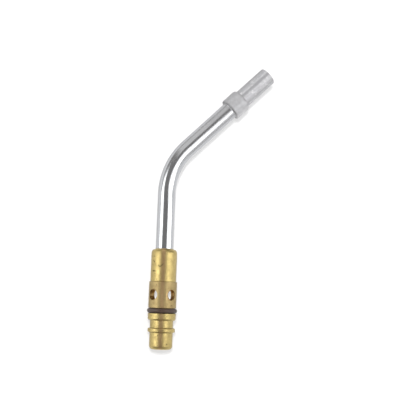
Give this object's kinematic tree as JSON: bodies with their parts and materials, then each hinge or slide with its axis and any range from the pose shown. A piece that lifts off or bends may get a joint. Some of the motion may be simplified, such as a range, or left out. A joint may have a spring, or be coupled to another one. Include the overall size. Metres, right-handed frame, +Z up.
{
  "type": "swirl burner torch tip",
  "caption": "Bent air-fuel torch burner tip: brass quick-connect stem with O-ring, ported air mixer and sleeve, stainless neck tube, collar and straight flame tube.",
  "frame": {"origin": "bottom centre of the box of the tip lying flat, on the plane it lies on; the stem's axis is 8 mm above that plane", "axes": "+Y along the stem from the nose's end face towards the burner, +X towards the side that the neck bends to, +Z up, square to the plane of the bend"},
  "size_m": [0.0646, 0.1542, 0.016],
  "materials": {
    "brass_turned": "bright turned brass with faint turning rings and light handling marks",
    "brass_mixer": "turned brass, a little duller and warmer than the sleeve",
    "brass_jet": "plain machined brass",
    "nitrile_rubber": "smooth moulded black-brown nitrile with a thin sheen",
    "spring_steel": "dark spring steel",
    "screen_steel": "etched stainless foil",
    "sintered_bronze": "granular sintered bronze",
    "washer_copper": "soft annealed copper",
    "bright_stainless": "bright drawn stainless tube with fine lengthwise drawing lines",
    "blasted_stainless": "matt cast or blasted stainless",
    "heat_dulled_stainless": "matt stainless with lengthwise streaks and small scratches"
  },
  "bodies": {
    "root": {"connector_stem": "brass_turned", "o_ring": "nitrile_rubber", "retaining_clip": "spring_steel", "inlet_screen": "screen_steel", "inlet_filter": "sintered_bronze", "jet_seal_washer": "washer_copper", "gas_jet": "brass_jet", "orifice_disc": "spring_steel", "mixer_body": "brass_mixer", "venturi_throat": "brass_jet", "tube_sleeve": "brass_turned", "neck_tube": "bright_stainless", "burner_collar": "blasted_stainless", "flame_tube": "heat_dulled_stainless", "swirl_vanes": "heat_dulled_stainless", "vane_spindle": "heat_dulled_stainless"}
  },
  "joints": []
}
